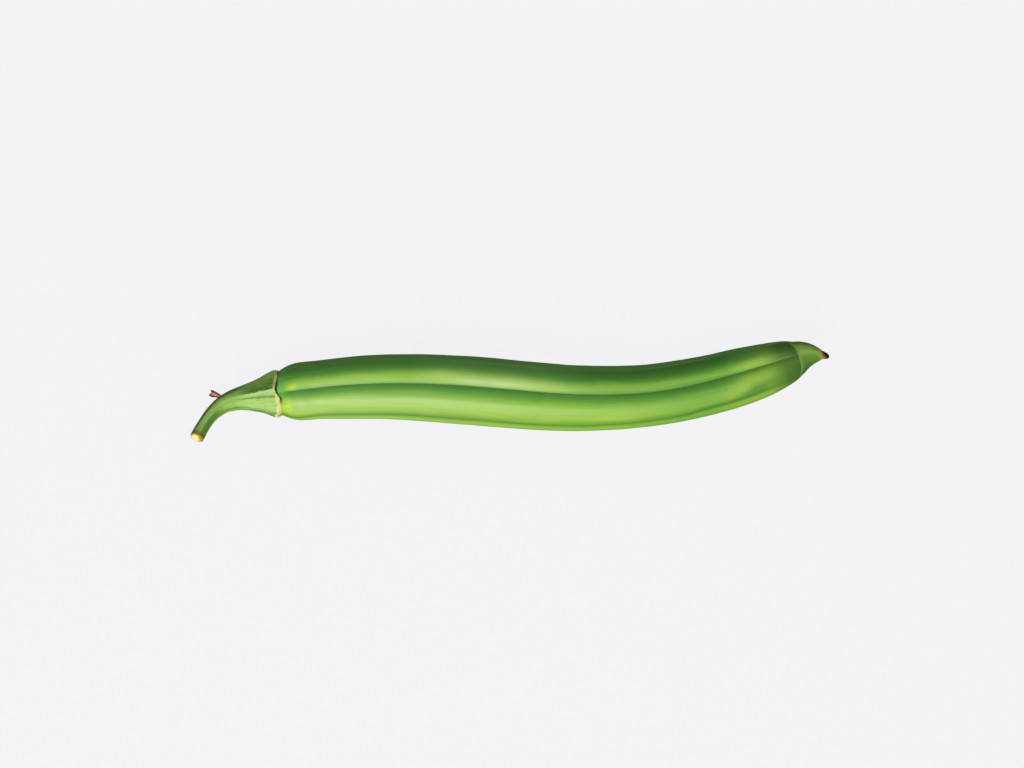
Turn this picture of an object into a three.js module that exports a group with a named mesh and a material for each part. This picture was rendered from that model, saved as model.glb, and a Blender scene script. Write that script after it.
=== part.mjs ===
// A green bean pod with five long lobes, as picked: the pod, the stalk that flares into its cap,
// the stub of a dried bract on the stalk, and the dried style at the pod's tip.
// Millimetres, +Z up. It lies on z = 0, stalk towards -X and tip towards +X.
import * as THREE from "three";

// ---- Driving dimensions ----
const JOINT_GAP = 0.3; // between two pieces that meet
const POD_START = new THREE.Vector2(-46.05, -0.72); // centre of the pod's stalk end
const BEAK_BASE = new THREE.Vector2(58.33, 6.64); // where the full pod gives way to its beak
const BEAK_END = new THREE.Vector2(62.0, 7.1); // where the green beak ends
const STYLE_TIP = new THREE.Vector2(63.95, 6.85); // the point of the dried style
const CAP_CENTRE = new THREE.Vector3(-46.35, -0.76, 5.9); // of the cap's rim
const STALK_CUT = new THREE.Vector3(-62.5, -9.25, 9.1); // centre of the cut end
const BRACT_BASE = new THREE.Vector3(-58.7, -0.55, 6.3); // on the outside of the stalk's bend
const BRACT_END = new THREE.Vector3(-60.1, -0.1, 6.7);

const LOBES = 5;
const POD_GROOVE_DEPTH = 0.11; // shares of the radius at the crest
const CAP_GROOVE_DEPTH = 0.05;
const GROOVE_SHARE_AT_CAP = 0.4; // of the full depth, where the pod meets its cap
const GROOVES_FULL_AT = 6; // mm along the pod from its stalk end
const GROOVES_FADE_FROM = 97;
const GROOVES_END_AT = 105.5;
const CAP_GROOVE_LENGTH = 9; // mm from the rim until the cap is round
const AXIS_RISE = 0.975; // height of the pod's axis, as a share of its radius there
const END_AXIS_HEIGHT = 5.9; // below this the axis never drops, so both ends lift off the surface

// The grooves between the lobes, as turns from straight up towards +Y, in the order met.
const GROOVE_ANGLES = [73.5, 143.5, 213.5, 283.5, 368.5].map((degrees) => THREE.MathUtils.degToRad(degrees));

// Outlines as (distance from the piece's start, radius).
const POD_OUTLINE = outline([
  [0, 4.5], [1, 5.05], [2.4, 5.45], [6, 5.82], [14, 6.38], [27, 6.89], [43, 7.1], [58, 6.82],
  [73, 6.43], [86, 6.13], [95, 5.6], [100.5, 4.75], [104, 3.75], [106.5, 2.85], [108.6, 1.65], [109.5, 0.95],
]);
const STALK_OUTLINE = outline([
  [0, 4.75], [2, 4.3], [4.6, 3.2], [8.2, 2.35], [13, 1.75], [17, 1.42], [20.9, 1.36],
]);
const STYLE_OUTLINE = outline([[0, 0.85], [0.8, 0.82], [1.35, 0.6], [1.65, 0.2]]);
const BRACT_OUTLINE = outline([[0, 0.48], [0.9, 0.6], [2.0, 0.5]]);

const RINGS = { pod: 42, stalk: 22, style: 6, bract: 5 };
const SIDES = { pod: 40, stalk: 25, style: 10, bract: 10 };

function outline(points) {
  return new THREE.SplineCurve(points.map(([distance, radius]) => new THREE.Vector2(distance, radius)));
}

// ---- Spines ----
const flat = (point) => new THREE.Vector3(point.x, point.y, 0);

// The pod sweeps in one long S and its beak levels out. The height is added ring by ring.
function podSpine() {
  const spine = new THREE.CurvePath();
  spine.add(new THREE.CubicBezierCurve3(
    flat(POD_START), new THREE.Vector3(0.35, 5.24, 0), new THREE.Vector3(12.4, -10.41, 0), flat(BEAK_BASE),
  ));
  spine.add(new THREE.QuadraticBezierCurve3(
    flat(BEAK_BASE), new THREE.Vector3(60.2, 7.37, 0), flat(BEAK_END),
  ));
  return spine;
}

// The stalk leaves the cap level, sags a little, then hooks round and lifts its cut end.
function stalkSpine() {
  return new THREE.CubicBezierCurve3(
    CAP_CENTRE, new THREE.Vector3(-55.36, -1.75, 5.6), new THREE.Vector3(-59.7, -1.08, 5.6), STALK_CUT,
  );
}

// ---- Cross-section ----
// A point of a ring of crest radius 1, as (towards the ring's left, towards its top). Each lobe is
// an arc from one groove's floor over its crest to the next, fuller than the ring itself.
// turn runs from 0 to 1 around the ring, in equal shares for every lobe.
function lobedSection(turn, grooveDepth) {
  const lobe = Math.floor(turn * LOBES) % LOBES;
  const share = turn * LOBES - Math.floor(turn * LOBES);
  const from = GROOVE_ANGLES[lobe];
  const to = lobe + 1 < LOBES ? GROOVE_ANGLES[lobe + 1] : GROOVE_ANGLES[0] + 2 * Math.PI;
  const middle = (from + to) / 2;
  const floor = 1 - grooveDepth;
  const halfWidth = floor * Math.sin((to - from) / 2);
  const chordDistance = floor * Math.cos((to - from) / 2);
  const bulge = 1 - chordDistance;
  const arcRadius = (halfWidth ** 2 + bulge ** 2) / (2 * bulge);
  const halfArc = Math.atan2(halfWidth, chordDistance - 1 + arcRadius);
  const arcAngle = middle + halfArc * (2 * share - 1);
  return new THREE.Vector2(
    (1 - arcRadius) * Math.sin(middle) + arcRadius * Math.sin(arcAngle),
    (1 - arcRadius) * Math.cos(middle) + arcRadius * Math.cos(arcAngle),
  );
}

// ---- Growing a body along a spine ----
// A closed cylinder whose rings are carried along the spine. ringAt(distance, radius) gives the
// depth of that ring's grooves and how far the ring is lifted.
function growBody(spine, profile, rings, sides, ringAt) {
  const geometry = new THREE.CylinderGeometry(1, 1, 1, sides, rings);
  const position = geometry.getAttribute("position");
  const up = new THREE.Vector3(0, 0, 1);
  const lastDistance = profile.getPoint(1).x;
  for (let i = 0; i < position.count; i++) {
    const corner = new THREE.Vector3().fromBufferAttribute(position, i);
    const { x: distance, y: radius } = profile.getPoint(corner.y + 0.5);
    const { grooveDepth, lift } = ringAt(distance, radius);
    const reach = Math.hypot(corner.x, corner.z) * radius;
    const turn = THREE.MathUtils.euclideanModulo(Math.atan2(-corner.x, corner.z) / (2 * Math.PI), 1);
    const section = lobedSection(turn, grooveDepth);
    const along = Math.min(distance / lastDistance, 1);
    const tangent = spine.getTangentAt(along);
    const left = new THREE.Vector3().crossVectors(up, tangent).normalize();
    const top = new THREE.Vector3().crossVectors(tangent, left);
    const point = spine.getPointAt(along)
      .addScaledVector(left, section.x * reach)
      .addScaledVector(top, section.y * reach);
    point.z = Math.max(point.z + lift, 0);
    position.setXYZ(i, point.x, point.y, point.z);
  }
  geometry.deleteAttribute("uv");
  geometry.computeVertexNormals();
  return geometry;
}

// A round ring that stays on its spine.
const plainRing = () => ({ grooveDepth: 0, lift: 0 });

// ---- Pieces ----
function piece(name, geometry, color, roughness) {
  const mesh = new THREE.Mesh(geometry, new THREE.MeshStandardMaterial({ color, roughness, metalness: 0 }));
  mesh.name = name;
  return mesh;
}

function makePod() {
  const { smoothstep } = THREE.MathUtils;
  const ringAt = (distance, radius) => ({
    grooveDepth: POD_GROOVE_DEPTH
      * (GROOVE_SHARE_AT_CAP + (1 - GROOVE_SHARE_AT_CAP) * smoothstep(distance, 0, GROOVES_FULL_AT))
      * (1 - smoothstep(distance, GROOVES_FADE_FROM, GROOVES_END_AT)),
    lift: Math.max(AXIS_RISE * radius, END_AXIS_HEIGHT),
  });
  const geometry = growBody(podSpine(), POD_OUTLINE, RINGS.pod, SIDES.pod, ringAt);
  return piece("pod", geometry, "#5f9a34", 0.42);
}

function makeStalk() {
  const ringAt = (distance) => ({
    grooveDepth: CAP_GROOVE_DEPTH * (1 - THREE.MathUtils.smoothstep(distance, 0, CAP_GROOVE_LENGTH)),
    lift: 0,
  });
  const geometry = growBody(stalkSpine(), STALK_OUTLINE, RINGS.stalk, SIDES.stalk, ringAt);
  return piece("stalk", geometry, "#6f9f3f", 0.5);
}

function makeBractStub() {
  const spine = new THREE.LineCurve3(BRACT_BASE, BRACT_END);
  const geometry = growBody(spine, BRACT_OUTLINE, RINGS.bract, SIDES.bract, plainRing);
  return piece("bract_stub", geometry, "#a8624a", 0.8);
}

function makeStyleTip() {
  const tip = new THREE.Vector3(STYLE_TIP.x, STYLE_TIP.y, END_AXIS_HEIGHT);
  const end = new THREE.Vector3(BEAK_END.x, BEAK_END.y, END_AXIS_HEIGHT);
  const start = end.addScaledVector(tip.clone().sub(end).normalize(), JOINT_GAP);
  const spine = new THREE.LineCurve3(start, tip);
  const geometry = growBody(spine, STYLE_OUTLINE, RINGS.style, SIDES.style, plainRing);
  return piece("style_tip", geometry, "#4a2c17", 0.85);
}

const part = new THREE.Group();
part.add(makePod(), makeStalk(), makeBractStub(), makeStyleTip());
export default part;
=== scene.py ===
# %% [markdown]
# # A ribbed green bean pod, as picked
# The pod lies on its belly on a pale floor, seen from straight above. It has four pieces: the ribbed
# pod with its short beak, the stalk that flares into a cap, the stub of a dried bract, and the dried
# style at the tip. A solid of each one is already in the frame, at its real size. Here each solid is
# replaced by a finely modelled mesh of the same shape, and then painted with shader nodes.

# %% Load the frame
import math
import bpy
import numpy as np
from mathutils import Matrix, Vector


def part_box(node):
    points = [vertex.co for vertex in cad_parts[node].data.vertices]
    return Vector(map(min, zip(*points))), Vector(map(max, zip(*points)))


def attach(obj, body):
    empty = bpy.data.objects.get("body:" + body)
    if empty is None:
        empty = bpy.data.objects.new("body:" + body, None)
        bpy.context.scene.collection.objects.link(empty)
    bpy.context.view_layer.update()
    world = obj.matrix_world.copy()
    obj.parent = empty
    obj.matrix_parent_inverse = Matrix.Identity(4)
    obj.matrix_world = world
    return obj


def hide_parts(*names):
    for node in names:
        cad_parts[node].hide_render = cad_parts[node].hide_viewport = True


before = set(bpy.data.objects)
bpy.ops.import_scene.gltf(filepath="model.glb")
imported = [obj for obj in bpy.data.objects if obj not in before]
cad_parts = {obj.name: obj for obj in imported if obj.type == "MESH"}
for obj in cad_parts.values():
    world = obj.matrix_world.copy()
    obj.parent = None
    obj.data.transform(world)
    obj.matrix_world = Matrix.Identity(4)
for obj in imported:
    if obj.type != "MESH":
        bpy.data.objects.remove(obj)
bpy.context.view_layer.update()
MM = 0.001
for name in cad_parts:
    low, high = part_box(name)
    print(name, "is", [round(side / MM, 1) for side in high - low], "mm")

# %% [markdown]
# ## Selecting by place
# Operators act on all that is selected, so every step starts by deselecting everything. In edit mode
# the corners to work on are then picked by where they are, as a modeller would pick them by eye.

# %% Small modelling helpers
def deselect_all():
    if bpy.context.object and bpy.context.object.mode != "OBJECT":
        bpy.ops.object.mode_set(mode="OBJECT")
    bpy.ops.object.select_all(action="DESELECT")


def take(piece):
    """Makes a piece the only one selected, and the active one."""
    deselect_all()
    piece.select_set(True)
    bpy.context.view_layer.objects.active = piece


def corners(piece):
    """The x, y and z of every corner, in millimetres."""
    flat = np.empty(3 * len(piece.data.vertices), np.float32)
    piece.data.vertices.foreach_get("co", flat)
    return flat.reshape(-1, 3).T.astype(float) / MM


def pick(piece, test):
    """Selects the corners whose x, y and z pass the test, and the edges between them, in edit mode."""
    bpy.ops.object.mode_set(mode="OBJECT")
    mesh = piece.data
    chosen = test(*corners(piece))
    ends = np.empty(2 * len(mesh.edges), int)
    mesh.edges.foreach_get("vertices", ends)
    mesh.polygons.foreach_set("select", np.zeros(len(mesh.polygons), bool))
    mesh.vertices.foreach_set("select", chosen)
    mesh.edges.foreach_set("select", chosen[ends].reshape(-1, 2).all(axis=1))
    bpy.ops.object.mode_set(mode="EDIT")
    bpy.context.tool_settings.mesh_select_mode = (True, False, False)
    return int(chosen.sum())


def angle_of(y, z):
    """Where a corner sits around a tube that runs along X: degrees from straight up towards +Y."""
    return np.degrees(np.arctan2(y, z)) % 360


def between(angle, other):
    """The smaller way round between two angles, in degrees."""
    return abs((angle - other + 180) % 360 - 180)


def smooth(x, start, end):
    """0 before start, 1 after end, with an even S between."""
    share = np.clip((x - start) / (end - start), 0.0, 1.0)
    return share * share * (3 - 2 * share)


def through(points, x):
    """A smooth curve through (x, y) points, read at x."""
    xs, ys = np.array(points, float).T
    slopes = np.gradient(ys, xs)
    i = np.clip(np.searchsorted(xs, x) - 1, 0, len(xs) - 2)
    step = xs[i + 1] - xs[i]
    t = np.clip((x - xs[i]) / step, 0.0, 1.0)
    rise = (2 * t**3 - 3 * t**2 + 1) * ys[i] + (3 * t**2 - 2 * t**3) * ys[i + 1]
    return rise + (t**3 - 2 * t**2 + t) * step * slopes[i] + (t**3 - t**2) * step * slopes[i + 1]


# %% [markdown]
# ## Growing a tube ring by ring
# Pods and stalks are tubes whose width changes all the way along. A circle is added at one end, then
# extruded again and again along X. Each new ring is scaled to the radius that the outline gives there,
# lifted, and turned a little, which lets the ribs wander as they do on a real pod. The tube is grown
# straight first, because ribs, rims and fine lines are easy to place on a straight tube.

# %% Rings
def add_ring(name, sides, place, radius):
    deselect_all()
    bpy.ops.mesh.primitive_circle_add(
        vertices=sides, radius=radius * MM, location=(place * MM, 0, 0), rotation=(0, math.pi / 2, 0)
    )
    ring = bpy.context.object
    ring.name = ring.data.name = name
    bpy.ops.object.transform_apply(location=True, rotation=True, scale=True)
    return ring


def grow(piece, stations, radius_at, lift_at=lambda x: 0.0, turn_at=lambda x: 0.0):
    """Extrudes the first ring of a piece through the stations, which are millimetres along X."""
    pick(piece, lambda x, y, z: x > -math.inf)
    first = stations[0]
    bpy.ops.transform.translate(value=(0, 0, lift_at(first) * MM))
    centre = (first * MM, 0, lift_at(first) * MM)
    bpy.ops.transform.rotate(value=math.radians(turn_at(first)), orient_axis="X", center_override=centre)
    for behind, here in zip(stations, stations[1:]):
        step = ((here - behind) * MM, 0, (lift_at(here) - lift_at(behind)) * MM)
        bpy.ops.mesh.extrude_region_move(TRANSFORM_OT_translate={"value": step})
        centre = (here * MM, 0, lift_at(here) * MM)
        scale = radius_at(here) / radius_at(behind)
        bpy.ops.transform.resize(value=(1, scale, scale), center_override=centre)
        turn = math.radians(turn_at(here) - turn_at(behind))
        bpy.ops.transform.rotate(value=turn, orient_axis="X", center_override=centre)
    bpy.ops.object.mode_set(mode="OBJECT")


def close_end(piece, at):
    """Closes the open ring at that X with a few shrinking rings that meet in one point."""
    pick(piece, lambda x, y, z: abs(x - at) < 0.001)
    for _ in range(3):
        bpy.ops.mesh.extrude_region_move()
        bpy.ops.transform.resize(value=(1, 0.6, 0.6))
    bpy.ops.mesh.merge(type="CENTER")
    bpy.ops.object.mode_set(mode="OBJECT")


def keep_straight_place(piece, lift_at):
    """Stores where each corner was on the straight tube, for patterns that follow the skin."""
    x, y, z = corners(piece)
    places = np.array([x, y, z - lift_at(x)], np.float32).T * MM
    straight = piece.data.attributes.new("straight", "FLOAT_VECTOR", "POINT")
    straight.data.foreach_set("vector", places.ravel())


def add_modifier(piece, name, kind, **settings):
    modifier = piece.modifiers.new(name, kind)
    for key, value in settings.items():
        setattr(modifier, key, value)
    return modifier


def apply_modifiers(piece):
    take(piece)
    for modifier in list(piece.modifiers):
        bpy.ops.object.modifier_apply(modifier=modifier.name)


def face_outwards(piece):
    take(piece)
    bpy.ops.object.mode_set(mode="EDIT")
    bpy.ops.mesh.select_all(action="SELECT")
    bpy.ops.mesh.normals_make_consistent(inside=False)
    bpy.ops.object.mode_set(mode="OBJECT")


# %% [markdown]
# ## Bending with a curve
# A real pod is bent by its own growth. A Bezier curve gives the line that its middle follows, and a
# Curve modifier bends the straight tube along it without stretching it.

# %% Curves to bend along
def bend_line(name, *spans):
    """A Bezier curve from spans of four control points, each starting where the last one ended."""
    deselect_all()
    bpy.ops.curve.primitive_bezier_curve_add(location=(0, 0, 0))
    line = bpy.context.object
    line.name = name
    bpy.ops.object.mode_set(mode="EDIT")
    for _ in spans[1:]:
        bpy.ops.curve.extrude_move()
    bpy.ops.object.mode_set(mode="OBJECT")
    knots = line.data.splines[0].bezier_points
    for knot in knots:
        knot.handle_left_type = knot.handle_right_type = "FREE"
    for i, span in enumerate(spans):
        start, leave, arrive, end = (Vector(point) * MM for point in span)
        knots[i].co, knots[i].handle_right = start, leave
        knots[i + 1].co, knots[i + 1].handle_left = end, arrive
    knots[0].handle_left = knots[0].co * 2 - knots[0].handle_right
    knots[-1].handle_right = knots[-1].co * 2 - knots[-1].handle_left
    line.data.dimensions = "3D"
    line.data.twist_mode = "Z_UP"
    line.data.resolution_u = 64
    return line


def bend(piece, line):
    add_modifier(piece, "bend", "CURVE", object=line, deform_axis="POS_X")
    apply_modifiers(piece)
    bpy.data.objects.remove(line)


# %% [markdown]
# ## The pod
# Five long lobes run from cap to beak, with a sharp furrow between each two. The first ring is a plain
# circle. Its five furrow corners are scaled inwards with proportional editing on the Sharp falloff,
# whose curve is a parabola: that pulls a crisp furrow and leaves a round crest. All later rings are
# extruded from this one, so the lobes run the whole way.

# %% Pod dimensions
POD_SIDES = 72
FURROWS = (0, 65, 135, 205, 280)  # degrees around the ring, before it is turned
FURROW_DEPTH = 0.125
POD_HIDDEN = -1.6  # the pod starts this far inside the cap's rim
BEAK_AT = 105.2
POD_END = 109.9
AXIS_RISE = 0.975  # height of the pod's middle, as a share of its radius there
LOWEST_AXIS = 5.9  # mm; the middle never drops below this, so both ends lift off the floor
POD_OUTLINE = [
    (POD_HIDDEN, 4.1), (0.3, 4.66), (1.2, 5.16), (2.4, 5.66), (8, 6.08), (27, 6.89), (43, 7.1),
    (58, 6.82), (73, 6.42), (86, 6.15), (95, 5.72), (100.5, 4.96), (104, 3.98),
    (BEAK_AT - 0.2, 3.48), (BEAK_AT + 0.2, 3.34), (107, 2.6), (POD_END, 1.0),
]
POD_TURN = [
    (POD_HIDDEN, 1.5), (4, 3.5), (12, 5.6), (32, 8.2), (64, 7.3), (73, 6.4), (100, 10.6), (POD_END, 10),
]


def pod_radius(x):
    return through(POD_OUTLINE, x)


def pod_lift(x):
    """Height of the pod's middle: it lies on its crests, and both ends rise a little."""
    return np.maximum(AXIS_RISE * pod_radius(x), LOWEST_AXIS)


def pod_turn(x):
    """Degrees from the top to the uppermost furrow: the ribs wander a little, most at both ends."""
    return through(POD_TURN, x)


def nearest_furrow(degrees):
    return np.min([between(degrees, furrow) for furrow in FURROWS], axis=0)


# %% [markdown]
# The furrows start shallow under the cap and die out before the beak, where the lobes end rounded.
# To Sphere draws a ring towards a true circle, so it fades the lobes ring by ring. It draws the crests
# in as well, so those rings are grown a little wider to keep the outline.

# %% Grow the pod
def furrow_fade(x):
    return np.maximum(0.5 * (1 - smooth(x, 0, 7)), smooth(x, 99, BEAK_AT))


stations = np.concatenate([
    np.arange(POD_HIDDEN, 4, 0.4), np.arange(4, 98, 1.0), np.arange(98, BEAK_AT - 0.6, 0.5),
    np.linspace(BEAK_AT - 0.6, BEAK_AT + 0.6, 9), np.linspace(BEAK_AT + 0.9, POD_END, 11),
])
pod = add_ring("pod_skin_mesh", POD_SIDES, stations[0], pod_radius(stations[0]))
count = pick(pod, lambda x, y, z: nearest_furrow(angle_of(y, z)) < 2.6)
print("furrow corners on the first ring:", count)
bpy.ops.transform.resize(
    value=(1, 1 - FURROW_DEPTH, 1 - FURROW_DEPTH), center_override=(0, 0, 0), use_proportional_edit=True,
    proportional_edit_falloff="SHARP", proportional_size=0.53 * pod_radius(stations[0]) * MM,
)
bpy.ops.object.mode_set(mode="OBJECT")
reach = np.hypot(*corners(pod)[1:])
evenness = reach.mean() / reach.max()
grow(
    pod, [float(x) for x in stations],
    lambda x: pod_radius(x) / (1 - furrow_fade(x) * (1 - evenness)), pod_lift, pod_turn,
)
for station in stations:
    if furrow_fade(station) > 0:
        pick(pod, lambda x, y, z: abs(x - station) < 0.001)
        bpy.ops.transform.tosphere(value=float(furrow_fade(station)))
print("pod rings:", len(stations), "corners:", len(pod.data.vertices))

# %% [markdown]
# Along the middle the furrow edges get a crease, which keeps them crisp when the mesh is subdivided.

# %% Crease the furrows
def around_pod(x, y, z):
    """Degrees from the top furrow, with the pod's lift and turn taken off."""
    return (angle_of(y, z - pod_lift(x)) - pod_turn(x)) % 360


pick(pod, lambda x, y, z: (x < BEAK_AT - 1) & (nearest_furrow(around_pod(x, y, z)) < 1.5))
bpy.ops.transform.edge_crease(value=1)
close_end(pod, POD_END)
close_end(pod, POD_HIDDEN)

# %% [markdown]
# ## Unwrapping the pod
# The skin's colour changes from furrow to furrow, so its UV map follows the lobes: U runs along the
# pod, and V counts lobes, 0 to 1 over the first, 1 to 2 over the second, and so on. A UV belongs to a
# face's corner, so V can jump back to 0 where the last lobe meets the first.

# %% UV map by lobes
def unwrap_lobes(piece, degrees, starts, length):
    """degrees is each corner's angle from the first furrow; starts are the angles where lobes begin."""
    layer = piece.data.uv_layers.new(name="lobes")
    along = corners(piece)[0] / length
    bounds = np.array([*starts, 360.0])
    for face in piece.data.polygons:
        here = degrees[list(face.vertices)]
        if np.ptp(here) > 180:
            here = np.where(here < 180, here + 360, here)
        lobe = int(np.searchsorted(bounds, here.mean() % 360, side="right")) - 1
        start = bounds[lobe] + 360 * (here.mean() >= 360)
        shares = np.clip((here - start) / (bounds[lobe + 1] - bounds[lobe]), 0, 1)
        for loop, corner, share in zip(face.loop_indices, face.vertices, shares):
            layer.data[loop].uv = (along[corner], lobe + share)


unwrap_lobes(pod, around_pod(*corners(pod)), FURROWS, POD_END)

# %% [markdown]
# Lobes are never equally wide. Towards the tip the front lobe narrows: its lower furrow is turned
# upwards in three overlapping stretches, so that it drifts gently instead of stepping.

# %% Let the front lobe narrow towards the tip
for start, end, degrees in ((65, 101, 4.0), (74, 99, 4.0), (84, 97, 4.5)):
    pick(pod, lambda x, y, z: (x > start) & (x < end) & (between(around_pod(x, y, z), 280) < 6.5))
    bpy.ops.transform.rotate(
        value=math.radians(degrees), orient_axis="X", center_override=(0, 0, 6.2 * MM),
        use_proportional_edit=True, proportional_edit_falloff="SMOOTH", proportional_size=4.6 * MM,
    )
bpy.ops.object.mode_set(mode="OBJECT")
keep_straight_place(pod, pod_lift)

# %% [markdown]
# Subdivision rounds the facets, and a very weak cloud displacement takes away the machine-made look:
# real pods swell slightly over each seed. The bent pod is last pressed flat by a hair where it lies.

# %% Finish the pod's shape
SWELL = 0.22  # mm between the lowest and the highest swelling
clouds = bpy.data.textures.new("swelling", "CLOUDS")
clouds.noise_scale = 9 * MM
add_modifier(pod, "smooth", "SUBSURF", levels=1, render_levels=1, uv_smooth="NONE")
add_modifier(pod, "swelling", "DISPLACE", texture=clouds, strength=SWELL * MM, mid_level=0.5)
apply_modifiers(pod)
POD_SPAN = [(-46.05, -0.72, 0), (0.35, 5.24, 0), (12.4, -10.41, 0), (58.3, 6.8, 0)]
BEAK_SPAN = [(58.3, 6.8, 0), (59.55, 7.2, 0), (60.8, 7.24, 0), (62.0, 7.12, 0)]
bend(pod, bend_line("pod_line", POD_SPAN, BEAK_SPAN))
pressed = pick(pod, lambda x, y, z: z < 0)
bpy.ops.transform.resize(value=(1, 1, 0), center_override=(0, 0, 0))
face_outwards(pod)
bpy.ops.object.shade_smooth_by_angle(angle=math.radians(28))
print("pod pressed flat at", pressed, "corners; faces:", len(pod.data.polygons))

# %% [markdown]
# ## Stalk and cap
# The stalk flares into the cap over the pod's end. It is grown the other way, from the cap's rim to
# the cut. The cap has six soft ridges, drawn out of the first ring with proportional editing, and
# To Sphere lets them die away along the stalk.

# %% Stalk dimensions
STALK_SIDES = 96
RIDGES = 6
RIDGE_RISE = 0.09
STALK_END = 20.0
STALK_OUTLINE = [
    (0, 4.5), (0.3, 4.6), (1.2, 4.34), (3.2, 3.46), (6.2, 2.58), (10.5, 1.82), (15, 1.36),
    (STALK_END, 1.36),
]


def stalk_radius(x):
    return through(STALK_OUTLINE, x)


def stalk_turn(x):
    return -12 - 5 * smooth(x, 0, 7)


def ridge_fade(x):
    return min(0.3 * (1 - smooth(x, 0, 0.7)) + 0.5 * smooth(x, 2, 9) + 0.3 * smooth(x, 9, 15), 0.9)


# %% Grow the stalk
stalk_stations = [float(x) for x in [*np.linspace(0, 1.2, 9), *np.arange(1.5, 19.9, 0.35), STALK_END]]
stalk = add_ring("stalk_skin_mesh", STALK_SIDES, 0, stalk_radius(0))
pick(stalk, lambda x, y, z: between(angle_of(y, z) * RIDGES, 0) < RIDGES)
bpy.ops.transform.resize(
    value=(1, 1 + RIDGE_RISE, 1 + RIDGE_RISE), center_override=(0, 0, 0), use_proportional_edit=True,
    proportional_edit_falloff="SHARP", proportional_size=0.5 * stalk_radius(0) * MM,
)
grow(stalk, stalk_stations, lambda x: stalk_radius(x) / (1 + 0.6 * RIDGE_RISE), turn_at=stalk_turn)
for station in stalk_stations:
    pick(stalk, lambda x, y, z: abs(x - station) < 0.001)
    bpy.ops.transform.tosphere(value=ridge_fade(station))
print("stalk rings:", len(stalk_stations))

# %% [markdown]
# Both ends are extruded further. The rim is a lip: the skin rounds over it and turns back into the cup
# that holds the pod. The cut shows how a stalk is built: a thin green skin, a ring of tough yellow
# fibres and a pale soft pith. A cut stalk dries, so the ring stands a little proud and the pith sinks.

# %% Rim and cut end
LIP = [(-0.14, 0.985), (-0.2, 0.955), (-0.14, 0.92), (0.15, 0.9), (0.8, 0.89), (1.6, 0.88), (2.2, 0.86)]
CUT = [(0.08, 0.97), (0.12, 0.9), (0.1, 0.8), (0.03, 0.7), (-0.07, 0.58), (-0.06, 0.42), (0.0, 0.2)]


def step_inwards(piece, at, steps):
    """Extrudes the ring at X through steps of (X from there, share of its radius)."""
    pick(piece, lambda x, y, z: abs(x - at) < 0.001)
    last_x, last_share = 0.0, 1.0
    for x, share in steps:
        bpy.ops.mesh.extrude_region_move(TRANSFORM_OT_translate={"value": ((x - last_x) * MM, 0, 0)})
        scale = share / last_share
        bpy.ops.transform.resize(value=(1, scale, scale), center_override=((at + x) * MM, 0, 0))
        last_x, last_share = x, share
    bpy.ops.mesh.merge(type="CENTER")
    bpy.ops.object.mode_set(mode="OBJECT")


step_inwards(stalk, 0.0, LIP)
step_inwards(stalk, STALK_END, CUT)
keep_straight_place(stalk, lambda x: 0.0 * x)

# %% [markdown]
# A cap tears unevenly as the pod swells out of it. So stretches of the rim are pushed forward over the
# pod or pulled back, with proportional editing. The stored straight place was kept before this, so
# colour laid along the rim by that place follows every step of it.

# %% Push the rim forward and back
# Degrees from the top towards -Y, mm forward over the pod, and the reach of the push in mm.
RIM_STEPS = [
    (-95, 0.65, 2.4), (-52, 0.45, 2.6), (-9, -0.2, 1.6), (20, 0.6, 2.2), (50, 0.45, 2.0),
    (88, -0.45, 2.4), (140, 0.4, 2.4), (-145, -0.3, 2.4),
]
for degrees, forward, size in RIM_STEPS:
    pick(stalk, lambda x, y, z: (
        (x < 0.8) & (np.hypot(y, z) > 4.1) & (between(angle_of(y, z), degrees) < 2)
    ))
    bpy.ops.transform.translate(
        value=(-forward * MM, 0, 0), use_proportional_edit=True,
        proportional_edit_falloff="SMOOTH", proportional_size=size * MM,
    )
bpy.ops.object.mode_set(mode="OBJECT")

# %% [markdown]
# The knife went through at a slant, so the cut face looks up a little more than the stalk does. The
# last rings are tilted together, and proportional editing leans the skin just behind them.

# %% Slant the cut, and bend the stalk
pick(stalk, lambda x, y, z: x > STALK_END - 0.2)
bpy.ops.transform.rotate(
    value=math.radians(15), orient_axis="Y", center_override=(STALK_END * MM, 0, 0),
    use_proportional_edit=True, proportional_edit_falloff="SMOOTH", proportional_size=1.6 * MM,
)
bpy.ops.object.mode_set(mode="OBJECT")
STALK_SPAN = [(-46.35, -0.62, 5.9), (-55.36, -1.75, 5.6), (-58.3, -1.15, 5.6), (-62.05, -8.95, 8.9)]
UNEVENNESS = 0.1  # mm
grain = bpy.data.textures.new("stalk_unevenness", "CLOUDS")
grain.noise_scale = 2.5 * MM
add_modifier(stalk, "smooth", "SUBSURF", levels=1, render_levels=1)
add_modifier(stalk, "unevenness", "DISPLACE", texture=grain, strength=UNEVENNESS * MM, mid_level=0.5)
apply_modifiers(stalk)
bend(stalk, bend_line("stalk_line", STALK_SPAN))
face_outwards(stalk)
bpy.ops.object.shade_smooth()
print("stalk faces:", len(stalk.data.polygons))

# %% [markdown]
# ## Bract stub
# A small leaf once sat on the outside of the stalk's bend. Its dried foot is left: a flat, wrinkled
# stub, torn in two at the end. It is a short tube that widens and flattens, and its last ring is split
# by pushing the middle back, which leaves two prongs.

# %% Model the bract stub
STUB_LENGTH = 2.5
STUB_FLATNESS = 0.7  # its height, as a share of its width
STUB_OUTLINE = [(0, 0.34), (0.6, 0.42), (1.3, 0.58), (2.0, 0.7), (STUB_LENGTH, 0.62)]


def stub_radius(x):
    return through(STUB_OUTLINE, x)


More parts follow.
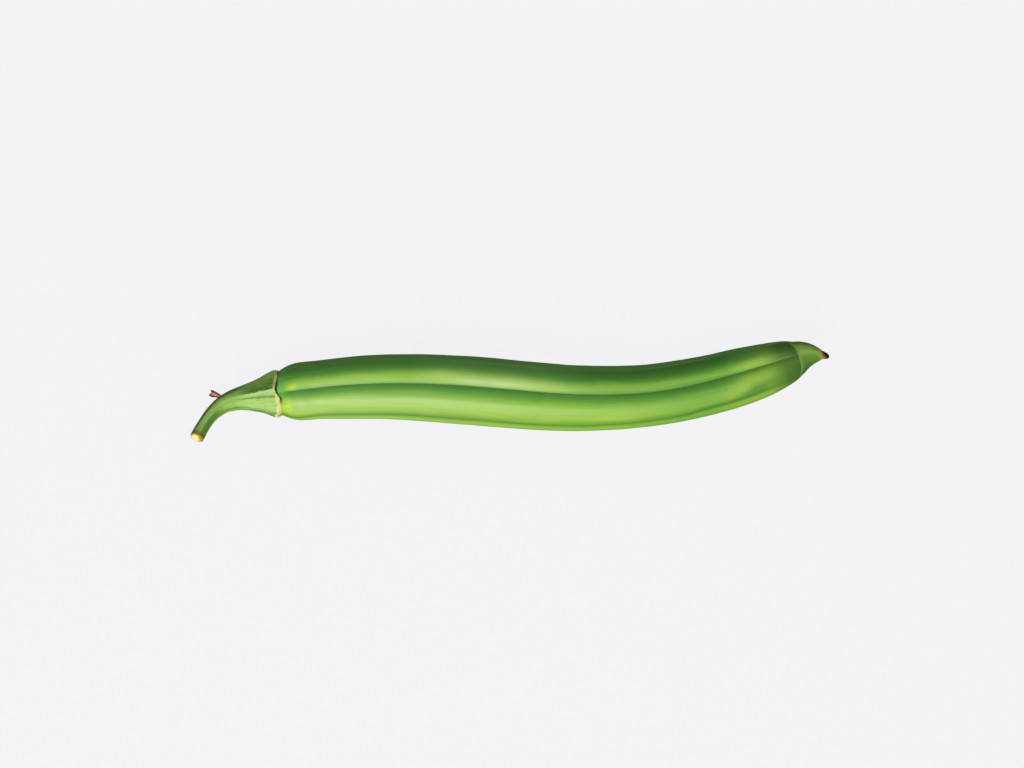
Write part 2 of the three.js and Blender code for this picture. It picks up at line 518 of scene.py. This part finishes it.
stub_stations = [float(x) for x in np.linspace(0, STUB_LENGTH, 13)]
stub = add_ring("bract_stub_mesh", 20, 0, stub_radius(0))
pick(stub, lambda x, y, z: x > -math.inf)
bpy.ops.transform.resize(value=(1, 1, STUB_FLATNESS), center_override=(0, 0, 0))
grow(stub, stub_stations, stub_radius)
close_end(stub, 0)
close_end(stub, STUB_LENGTH)
pick(stub, lambda x, y, z: (x > STUB_LENGTH - 0.3) & (abs(y + 0.05) < 0.12))
bpy.ops.transform.translate(
    value=(-0.4 * MM, 0, 0), use_proportional_edit=True, proportional_edit_falloff="SHARP",
    proportional_size=0.5 * MM,
)
bpy.ops.object.mode_set(mode="OBJECT")
keep_straight_place(stub, lambda x: 0.0 * x)
crumple = bpy.data.textures.new("crumple", "CLOUDS")
crumple.noise_scale = 0.7 * MM
add_modifier(stub, "smooth", "SUBSURF", levels=2, render_levels=2)
add_modifier(stub, "crumple", "DISPLACE", texture=crumple, strength=0.28 * MM, mid_level=0.5)
apply_modifiers(stub)
STUB_SPAN = [(-57.6, -1.3, 6.2), (-58.35, -1.0, 6.35), (-59.05, -0.75, 6.5), (-59.85, -0.45, 6.8)]
bend(stub, bend_line("stub_line", STUB_SPAN))
face_outwards(stub)
bpy.ops.object.shade_smooth()

# %% [markdown]
# ## Dried style
# The beak ends in what is left of the flower's style: a brown, shrivelled nib that bends down at the
# point. It starts inside the beak, so that green and brown meet without a gap.

# %% Model the style tip
NIB_LENGTH = 2.2
NIB_OUTLINE = [
    (-0.25, 0.8), (0, 0.95), (0.45, 0.93), (0.9, 0.83), (1.3, 0.73), (1.7, 0.58), (2.0, 0.42),
    (NIB_LENGTH, 0.24),
]


def nib_radius(x):
    return through(NIB_OUTLINE, x)


nib_stations = [float(x) for x in np.linspace(-0.25, NIB_LENGTH, 18)]
nib = add_ring("style_tip_mesh", 28, nib_stations[0], nib_radius(nib_stations[0]))
grow(nib, nib_stations, nib_radius)
close_end(nib, nib_stations[0])
close_end(nib, NIB_LENGTH)
keep_straight_place(nib, lambda x: 0.0 * x)
add_modifier(nib, "smooth", "SUBSURF", levels=2, render_levels=2)
add_modifier(nib, "crumple", "DISPLACE", texture=crumple, strength=0.22 * MM, mid_level=0.5)
apply_modifiers(nib)
NIB_SPAN = [(61.85, 7.15, 5.9), (62.5, 7.1, 5.9), (63.2, 7.0, 5.85), (63.9, 6.65, 5.7)]
bend(nib, bend_line("nib_line", NIB_SPAN))
face_outwards(nib)
bpy.ops.object.shade_smooth()

# %% [markdown]
# ## A small language for shader maths
# Node trees get long, so two small classes keep them readable. A Value wraps a socket, and arithmetic
# on it adds Math nodes. A Finish is one material; its node() adds any other node, with its settings
# first and then the values or links of its sockets.

# %% Values and finishes
class Value:
    def __init__(self, finish, socket):
        self.finish, self.socket = finish, socket

    def __add__(self, other):
        return self.finish.math("ADD", self, other)

    def __sub__(self, other):
        return self.finish.math("SUBTRACT", self, other)

    def __rsub__(self, other):
        return self.finish.math("SUBTRACT", other, self)

    def __mul__(self, other):
        return self.finish.math("MULTIPLY", self, other)

    def __truediv__(self, other):
        return self.finish.math("DIVIDE", self, other)

    def __pow__(self, other):
        return self.finish.math("POWER", self, other)

    __radd__ = __add__
    __rmul__ = __mul__


class Finish:
    def __init__(self, name):
        self.material = bpy.data.materials.new(name)
        self.material.use_nodes = True
        self.tree = self.material.node_tree
        self.surface = self.tree.nodes["Principled BSDF"]

    def node(self, kind, settings=None, sockets=None, out=0):
        node = self.tree.nodes.new(kind)
        for key, value in (settings or {}).items():
            if key == "stops":
                self.set_stops(node.color_ramp, value)
            else:
                setattr(node, key, value)
        for key, value in (sockets or {}).items():
            self.feed(node.inputs[key], value)
        return Value(self, node.outputs[out])

    def set_stops(self, ramp, stops):
        while len(ramp.elements) < len(stops):
            ramp.elements.new(1.0)
        for element, (place, color) in zip(ramp.elements, stops):
            element.position, element.color = place, color

    def feed(self, socket, value):
        if isinstance(value, Value):
            self.tree.links.new(value.socket, socket)
        else:
            socket.default_value = value

    def math(self, operation, *values):
        return self.node("ShaderNodeMath", {"operation": operation}, dict(enumerate(values)))

    def step(self, value, low, high):
        """0 below low, 1 above high, smooth between."""
        settings = {"interpolation_type": "SMOOTHSTEP"}
        sockets = {"Value": value, "From Min": low, "From Max": high}
        return self.node("ShaderNodeMapRange", settings, sockets)

    def band(self, value, middle, width):
        """1 at the middle, 0 from width away."""
        return 1 - self.step(self.math("ABSOLUTE", value - middle), 0.0, width)

    def mix(self, share, first, second, blend="MIX"):
        settings = {"data_type": "RGBA", "blend_type": blend}
        return self.node("ShaderNodeMix", settings, {0: share, 6: first, 7: second}, out=2)

    def ramp(self, value, colors, span=1.0):
        """A colour for each place, where places run from 0 to span."""
        stops = [(place / span, paint(code)) for place, code in colors.items()]
        return self.node("ShaderNodeValToRGB", {"stops": stops}, {"Fac": value / span})

    def stretched(self, place, x, y, z):
        """A place scaled along each axis: small numbers draw a pattern out."""
        return self.node("ShaderNodeVectorMath", {"operation": "MULTIPLY"}, {0: place, 1: (x, y, z)})

    def noise(self, place, scale, detail=3.0, roughness=0.55):
        sockets = {"Vector": place, "Scale": scale, "Detail": detail, "Roughness": roughness}
        return self.node("ShaderNodeTexNoise", {}, sockets)

    def ring_place(self, place):
        """How far a point of a straight tube sits towards +Y (1) or -Y (-1), and towards its top."""
        ring = self.stretched(place, 0, 1, 1)
        outward = self.node("ShaderNodeVectorMath", {"operation": "NORMALIZE"}, {0: ring})
        return self.part(outward, 1), self.part(outward, 2)

    def spot(self, place, centre, size):
        """1 at a centre given in mm, 0 from size mm away."""
        centre = tuple(c * MM for c in centre)
        settings = {"operation": "DISTANCE"}
        away = self.node("ShaderNodeVectorMath", settings, {0: place, 1: centre}, out="Value")
        return 1 - self.step(away, 0.2 * size * MM, size * MM)

    def part(self, vector, axis):
        return self.node("ShaderNodeSeparateXYZ", {}, {0: vector}, out=axis)

    def attribute(self, name):
        return self.node("ShaderNodeAttribute", {"attribute_name": name}, out="Vector")

    def bump(self, height, strength, distance, under=None):
        sockets = {"Height": height, "Strength": strength, "Distance": distance}
        if under:
            sockets["Normal"] = under
        return self.node("ShaderNodeBump", {}, sockets)

    def finish(self, **values):
        for key, value in values.items():
            self.feed(self.surface.inputs[key.replace("_", " ")], value)
        return self.material


def paint(code):
    """A screen colour such as 7fae3c as the linear colour that a shader works in."""
    parts = [int(code[i:i + 2], 16) / 255 for i in (0, 2, 4)]
    return (*(c / 12.92 if c < 0.04045 else ((c + 0.055) / 1.055) ** 2.4 for c in parts), 1.0)


# %% [markdown]
# ## A small palette
# The whole pod is painted with a few greens and a few tints. Giving each a name keeps the ramps below
# readable, and one change here carries through everywhere.

# %% Greens and tints
# The darkest green is painted shade for the furrows; the paler greens also act as painted light on flanks
# that face the light, and the deeper ones as painted shade on flanks turned away.
FURROW_SHADE, DEEP, LEAF, LIGHT, CREST, PALE, EDGE = (
    "5e983c", "669c34", "6aac46", "90c04e", "a2c85a", "b2d66a", "9ed66c"
)
FULL, COOL, WARM, DULL, LEAN, YELLOWED, LOBE_END_SHADE = (
    "fafaf0", "dcecc0", "e6f2b0", "c6de9c", "b0d08c", "e8ecb0", "92a884"
)

# %% [markdown]
# ## Pod skin
# Each lobe's colour is partly its own green and partly painted light and shade for a light on the -Y
# side: flanks that face it are painted pale yellow-green as painted light, flanks turned away are deep
# green as painted shade, and each sharp furrow carries a painted dark line of shade.
# The UV map's V tells where a point is around the pod, counted in lobes, so one ramp over V lays out
# the whole circumference. Soft noise shifts the place that is looked up, which frays the borders.
# The shift dies away near a furrow, so the thin lines there stay clean. The same trick widens the pale
# band of painted light on the rear lobe about a third of the way along, and on the front lobe before
# the tip. There the place is held above the lobe's own furrow, so no colour leaks in from the lobe below.

# %% Colours around the pod
skin = Finish("pod_skin")
uv = skin.node("ShaderNodeUVMap", {"uv_map": "lobes"})
along, lobes = skin.part(uv, 0) * POD_END, skin.part(uv, 1)
straight = skin.attribute("straight")
side, top = skin.ring_place(straight)
blotches = skin.noise(skin.stretched(straight, 90, 260, 260), 1.0, 3.0)
streaks = skin.noise(skin.stretched(straight, 55, 1500, 1500), 1.0, 4.0)
share = skin.math("FRACT", lobes)
hump = share * (1 - share)
front = skin.math("GREATER_THAN", lobes, 4.0)
rear = skin.math("LESS_THAN", lobes, 1.0)
widest = skin.step(along, 27, 33) * (1 - skin.step(along, 51, 58))
fray = ((blotches - 0.5) * 1.1 - widest * rear * 0.2 - 1.35 * skin.step(along, 89, 95) * front) * hump
# Painted light and shade: this ramp paints flanks that face the light pale and flanks turned away dark.
base = skin.ramp(skin.math("MAXIMUM", lobes + fray, front * 4.06), {
    0: FURROW_SHADE, 0.04: LIGHT, 0.12: PALE, 0.2: PALE, 0.3: LIGHT, 0.4: LEAF, 0.87: LEAF, 0.94: EDGE,
    1.02: LEAF, 1.4: DEEP, 2.5: LIGHT, 3: DEEP, 3.6: LIGHT, 3.9: CREST, 4: DEEP, 4.13: DEEP,
    4.4: CREST, 4.62: CREST, 4.74: LIGHT, 4.85: LEAF, 5: FURROW_SHADE,
}, span=5)

# %% [markdown]
# The colour also drifts along the pod: pale in the cap's half, duller past the middle, yellower before
# the tip, and dark at the lobes' rounded ends, which is painted shade. The two lobes on show drift
# differently, so each has its own tint, and the tint multiplies the colour.

# %% Drift along the pod
# The darkest tint, at the lobes' rounded ends, is painted shade.
upper_tint = skin.ramp(along, {
    0: COOL, 26: COOL, 32: FULL, 53: FULL, 62: DULL, 80: LEAN, 90: LEAN, 95: YELLOWED, 98: YELLOWED,
    101.5: LOBE_END_SHADE,
}, span=POD_END)
lower_tint = skin.ramp(along, {
    0: WARM, 4: FULL, 12: FULL, 60: WARM, 68: WARM, 80: DULL, 87: DULL, 93: YELLOWED, 98: YELLOWED,
    102: LOBE_END_SHADE,
}, span=POD_END)
tint = skin.mix(skin.math("GREATER_THAN", lobes, 1.0), upper_tint, paint("ececd8"))
tint = skin.mix(skin.math("GREATER_THAN", lobes, 3.0), tint, lower_tint)
base = skin.mix(skin.step(along, 94, 102) * 0.7, base, paint("88b84c"))
base = skin.mix(1.0, base, tint, "MULTIPLY")
strip = skin.step(along, 84, 96) * skin.band(lobes, 3.35, 0.6)
base = skin.mix(strip * 0.5, base, paint("4f7a30"))
# A pale patch on the rear lobe beside its furrow, around the pod's middle, is a painted highlight.
painted_sheen = skin.band(along, 43, 12) * skin.band(lobes, 0.13, 0.13) * skin.step(blotches, 0.35, 0.6)
base = skin.mix(painted_sheen * 0.5, base, paint("dcecc0"))
before_tip = 1 - 0.8 * skin.step(along, 91, 98)
base = skin.mix(skin.step(streaks, 0.5, 0.75) * before_tip * 0.12, base, paint("c4dc86"))
base = skin.mix(skin.step(streaks, 0.5, 0.25) * before_tip * 0.2, base, paint("4f8f36"))

# %% [markdown]
# Beside the cap a thin dark line along the rim, over the pod's upper half, is painted shadow of the rim.
# Then the skin is fresh green, with yellow spots. Pale pores are scattered over the whole pod.

# %% Rim line, spots and pores
# The thin dark line beside the rim is painted shadow of the rim on the pod.
edge = -0.15 + 0.3 * skin.step(side, 0.2, 0.5) + 0.8 * (1 - skin.step(side, -0.25, 0.1))
rim_shadow = (1 - skin.step(along - edge, -0.1, 0.35)) * skin.step(side, -0.55, -0.2)
fresh = (1 - skin.step(along, 0.8, 2.6)) * skin.step(side, -0.5, 0.1)
base = skin.mix(fresh * 0.8, base, paint("6cb64c"))
yellow_spots = skin.band(along, 1.6, 2.0) * skin.band(lobes, 4.58, 0.34)
yellow_spots = skin.math("MAXIMUM", yellow_spots, skin.band(along, 3.0, 1.5) * skin.band(lobes, 0.13, 0.14))
base = skin.mix(yellow_spots * skin.step(blotches + streaks, 0.6, 1.0), base, paint("bcdc34"))
base = skin.mix(rim_shadow, base, paint("2f4d12"))
cells = skin.node("ShaderNodeTexVoronoi", {}, {"Vector": straight, "Scale": 620.0}, out="Distance")
pores = skin.step(cells, 0.14, 0.04) * skin.step(blotches, 0.5, 0.62)
base = skin.mix(pores * 0.14, base, paint("cfe39a"))
pale_line = skin.band(lobes, 0.035, 0.04) * skin.step(along, 93, 101)
base = skin.mix(pale_line * 0.3, base, paint("9cc46c"))

# %% [markdown]
# The beak is plainer: lighter on its upper face, dark below, with a faint rib. A thin pale line marks
# where the lobes end, bowing back at both sides, and it is raised a little by the bump as well.

# %% Beak and finish of the pod
lobe_end = BEAK_AT - 0.15 - 1.0 * skin.math("ABSOLUTE", side) ** 3
beak_share = skin.step(along - lobe_end, -0.1, 0.15)
beak = skin.ramp((side + 1) / 2, {
    0: "466e20", 0.45: "6c9c34", 0.63: "9cc848", 0.85: "90be42", 1: "466e20",
})
ring = skin.band(along - lobe_end, 0.0, 0.38)
rib = skin.band(side, 0.3, 0.16) * skin.step(along, BEAK_AT, BEAK_AT + 0.5)
tip = skin.step(along + side * 0.5, 108.5, 109.6)
base = skin.mix(beak_share, base, beak)
base = skin.mix(skin.math("MAXIMUM", ring * 0.34, rib * 0.35), base, paint("b0d078"))
base = skin.mix(tip * 0.75, base, paint("bca64c"))
height = streaks * 0.5 + cells * 0.2 + ring
pod.data.materials.append(skin.finish(
    Base_Color=base, Roughness=0.46 + 0.12 * skin.step(along, 56, 80) + blotches * 0.06,
    Specular_IOR_Level=0.5, Normal=skin.bump(height, 0.25, 0.0002),
))

# %% [markdown]
# ## Stalk and cap skin
# The cap's upper face is painted dark as painted shade and its lower face is pale, with a painted
# highlight along the ridge between them. The stalk is painted darkest along both of its sides and on
# the inside of its bend, as painted shade. Fine fibres run lengthwise. The rim has dried to cream.
# The cut end shows olive fibres around straw-coloured pith, and the skin just behind the cut has
# started to brown.

# %% Make the stalk skin
green = Finish("stalk_skin")
straight = green.attribute("straight")
back = green.part(straight, 0) / MM
side, top = green.ring_place(straight)
fibres = green.noise(green.stretched(straight, 70, 1900, 1900), 1.0, 4.0)
blotches = green.noise(straight, 330.0, 3.0)
lean = side + (fibres - 0.5) * 0.12
# The two darkest greens are painted shade on the cap's upper face and along the stalk's sides; the palest
# is a painted highlight along the cap's ridge.
SHADE, MOSS, FRESH, SOFT, KEEL_HIGHLIGHT = "4a8432", "5e8c34", "8cba48", "a4ca68", "b8da8c"
cap_skin = green.ramp((lean + 1) / 2, {
    0: SOFT, 0.1: FRESH, 0.36: SHADE, 0.385: SHADE, 0.405: KEEL_HIGHLIGHT, 0.5: SOFT, 0.55: MOSS, 0.6: SOFT,
    0.84: SOFT, 1: MOSS,
})
stem_skin = green.ramp((lean + 1) / 2, {
    0: MOSS, 0.12: MOSS, 0.22: SOFT, 0.6: FRESH, 0.78: FRESH, 0.88: MOSS, 0.96: FRESH,
})
bend_skin = green.ramp((lean + 1) / 2, {
    0: MOSS, 0.14: MOSS, 0.25: SOFT, 0.5: FRESH, 0.68: MOSS, 0.9: MOSS, 1: FRESH,
})
base = green.mix(green.step(back, 5.0, 9.5), cap_skin, stem_skin)
base = green.mix(green.step(back, 11.0, 14.5), base, bend_skin)
base = green.mix(green.step(fibres, 0.5, 0.72) * 0.35, base, paint("bcd890"))
base = green.mix(green.step(fibres, 0.48, 0.28) * 0.3, base, paint("4c8232"))

# %% Rim, cut end and finish of the stalk
width = 0.34 + 0.42 * green.step(side, -0.05, 0.35) + (blotches - 0.5) * 0.5
rim = 1 - green.step(back - width, -0.15, 0.12)
cream = green.ramp(green.noise(straight, 1500.0, 2.0), {
    0.3: "caa04a", 0.42: "dcd07e", 0.6: "eee69c", 0.8: "ccd07c",
})
base = green.mix(rim * 0.92, base, cream)
base = green.mix(green.spot(straight, (0.75, -1.5, 4.2), 0.6) * 0.8, base, paint("c0a82c"))
browning = green.step(back, STALK_END - 2.4, STALK_END - 0.4)
base = green.mix(browning * 0.6, base, paint("6e6e28"))
ring = green.stretched(straight, 0, 1, 1)
wide = green.node("ShaderNodeVectorMath", {"operation": "LENGTH"}, {0: ring}, out="Value")
inwards = 1 - wide / (stalk_radius(STALK_END) * MM)
cut_color = green.ramp(inwards + (blotches - 0.5) * 0.2 - top * 0.24 - side * 0.1, {
    0: "8a7a20", 0.28: "c4b02c", 0.5: "fff0a0",
})
pink = green.step(top, -0.1, -0.7) * green.step(inwards, 0.4, 0.05)
cut_color = green.mix(pink * 0.85, cut_color, paint("e8c090"))
cut_color = green.mix(green.step(side, 0.5, 0.95) * 0.6, cut_color, paint("a07c30"))
base = green.mix(green.step(back, STALK_END - 0.18, STALK_END - 0.02), base, cut_color)
stalk.data.materials.append(green.finish(
    Base_Color=base, Roughness=0.55 + rim * 0.2, Specular_IOR_Level=0.3,
    Normal=green.bump(fibres + blotches * rim, 0.45, 0.00025),
))

# %% [markdown]
# ## Dried bract and dried style
# Both are dead tissue: brown, matt and wrinkled along their length. The bract is redder, dark along
# its edges. The style is almost black at its point and straw-coloured where it joins the beak.

# %% Make the dried finishes
dry = Finish("dried_bract")
straight = dry.attribute("straight")
side, top = dry.ring_place(straight)
wrinkles = dry.noise(dry.stretched(straight, 500, 3500, 3500), 1.0, 4.0)
base = dry.ramp(dry.math("ABSOLUTE", side) + (wrinkles - 0.5) * 0.9, {
    0.1: "e0a484", 0.42: "c06c4e", 0.72: "8c4634", 0.95: "543020",
})
end = dry.step(dry.part(straight, 0) / MM, 1.7, 2.5)
base = dry.mix(end * 0.6, base, paint("6a4430"))
stub.data.materials.append(dry.finish(
    Base_Color=base, Roughness=0.78, Specular_IOR_Level=0.25, Normal=dry.bump(wrinkles, 0.6, 0.0002),
))

brown = Finish("dried_style")
straight = brown.attribute("straight")
side, top = brown.ring_place(straight)
wrinkles = brown.noise(brown.stretched(straight, 700, 2600, 2600), 1.0, 4.0)
ripe = brown.part(straight, 0) / MM * 0.5 + side * 0.32 + (wrinkles - 0.5) * 0.5
nib_color = brown.ramp(ripe, {0.0: "ac9850", 0.36: "96803c", 0.5: "5c4420", 0.65: "33200f", 1.0: "26170c"})
nib.data.materials.append(brown.finish(
    Base_Color=nib_color, Roughness=0.8, Specular_IOR_Level=0.25, Normal=brown.bump(wrinkles, 0.6, 0.0002),
))

# %% [markdown]
# ## Hand the pieces to the frame
# Each piece rides on the part's one body and stands in for its solid, which is hidden.

# %% Ride and replace
PIECES = {
    "pod": (pod, "pod_skin"), "stalk": (stalk, "stalk_skin"),
    "bract_stub": (stub, "dried_bract"), "style_tip": (nib, "dried_style"),
}
for node, (piece, slot) in PIECES.items():
    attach(piece, "root")
    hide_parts(node)

# %% [markdown]
# ## Floor, light and camera
# The floor is a pale sheet. A big soft light stands low on the -Y side, so the lobes shade one
# another from one furrow to the next. The camera looks straight down.

# %% Floor
deselect_all()
bpy.ops.mesh.primitive_plane_add(size=4.0, location=(0, 0, 0))
floor = bpy.context.object
floor.name = "floor"
pale = Finish("floor_sheet")
floor.data.materials.append(pale.finish(
    Base_Color=(0.03, 0.03, 0.03, 1), Roughness=1.0, Specular_IOR_Level=0.0,
    Emission_Color=(0.982, 0.982, 1.0, 1), Emission_Strength=0.885,
))
floor.visible_diffuse = False
floor.visible_glossy = False

# %% Lights
LIGHT_DISTANCE = 1.6
AIM = Vector((0, 0, 6 * MM))


def soft_light(name, direction, size, watts):
    """An area light that faces the pod from a direction given as (x, y, z)."""
    place = AIM + Vector(direction).normalized() * LIGHT_DISTANCE
    bpy.ops.object.light_add(type="AREA", location=place)
    light = bpy.context.object
    light.name = name
    light.rotation_euler = (AIM - place).to_track_quat("-Z", "Y").to_euler()
    light.data.size, light.data.energy = size, watts
    return light


soft_light("key", (-0.25, -0.75, 0.75), 1.0, 26.8)
soft_light("fill", (0.3, 0.8, 1.0), 1.3, 4.4)
world = bpy.data.worlds.new("studio")
world.use_nodes = True
world.node_tree.nodes["Background"].inputs["Color"].default_value = (0.9, 0.95, 1.0, 1)
world.node_tree.nodes["Background"].inputs["Strength"].default_value = 0.2
bpy.context.scene.world = world

# %% Camera
VIEW_WIDTH = 0.2048
LENS = 100.0
camera_data = bpy.data.cameras.new("camera")
camera_data.lens = LENS
camera_data.sensor_width = 36.0
camera = bpy.data.objects.new("camera", camera_data)
camera.location = (0.5 * MM, 1.3 * MM, VIEW_WIDTH * LENS / camera_data.sensor_width + 6.4 * MM)
bpy.context.scene.collection.objects.link(camera)
bpy.context.scene.camera = camera
bpy.context.scene.view_settings.view_transform = "Standard"
